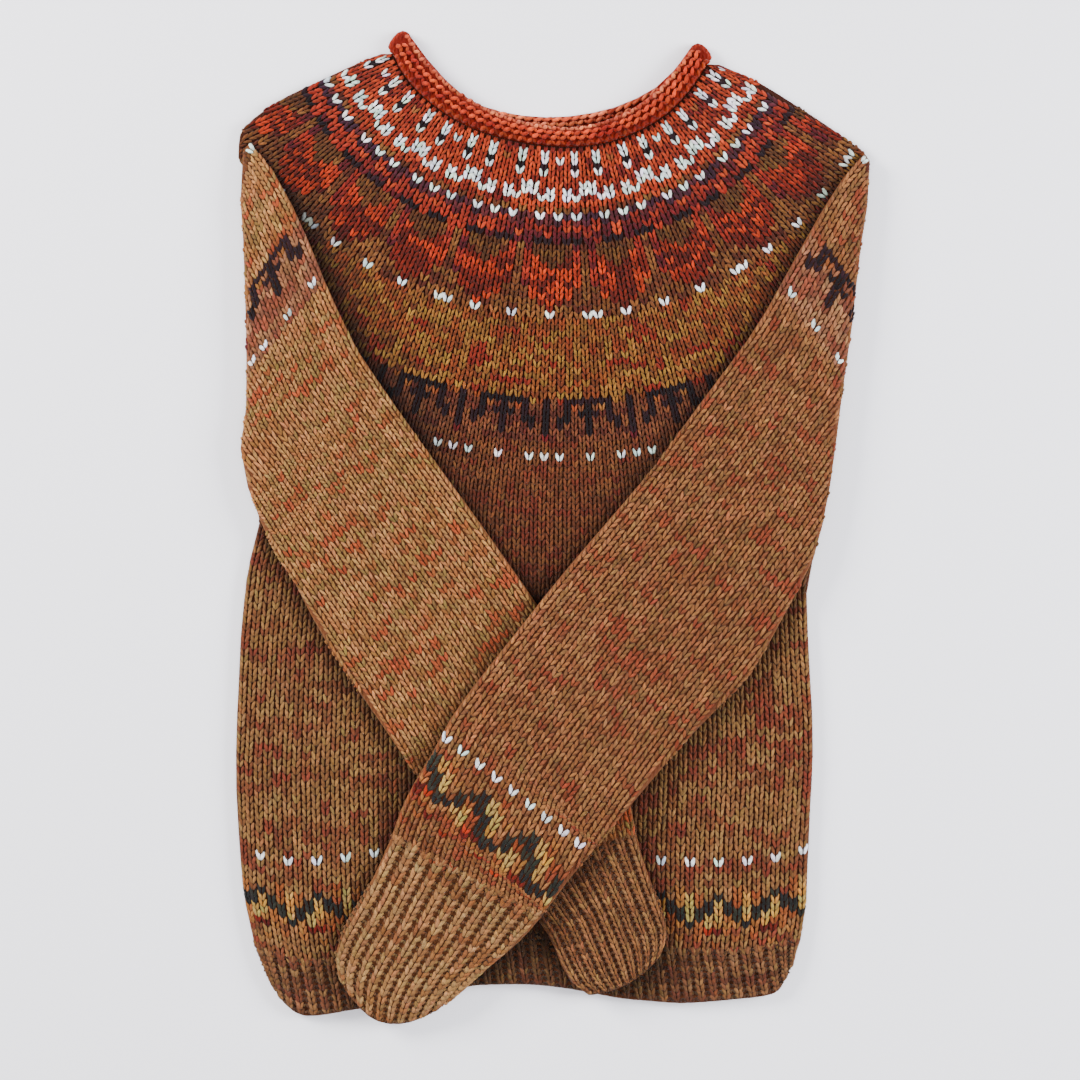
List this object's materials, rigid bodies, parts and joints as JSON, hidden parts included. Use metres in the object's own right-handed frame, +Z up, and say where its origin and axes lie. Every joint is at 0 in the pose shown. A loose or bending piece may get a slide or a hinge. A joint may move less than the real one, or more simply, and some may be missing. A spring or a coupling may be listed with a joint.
{
  "type": "sweater",
  "caption": "Hand-knitted round-yoke sweater with fair isle bands, laid flat with both long sleeves folded across the front, ribbed cuffs and hem, rolled neckband",
  "frame": {"origin": "middle of the garment's outline in plan, on the surface it lies on", "axes": "+Y towards the neck, +X to the viewer's right seen from above, +Z up off the surface"},
  "size_m": [0.444, 0.6958, 0.0292],
  "materials": {
    "wool_body": "matte",
    "wool_yoke": "matte",
    "wool_rib": "matte",
    "wool_neck": "matte",
    "wool_sleeve": "matte",
    "wool_sleeve_dark": "matte",
    "wool_cuff": "matte"
  },
  "bodies": {
    "root": {"body_front": "wool_body", "body_back": "wool_body", "yoke_front": "wool_yoke", "yoke_back": "wool_yoke", "hem_rib_front": "wool_rib", "hem_rib_back": "wool_rib", "neckband": "wool_neck", "left_sleeve": "wool_sleeve_dark", "right_sleeve": "wool_sleeve", "left_cuff": "wool_rib", "right_cuff": "wool_cuff"}
  },
  "joints": []
}
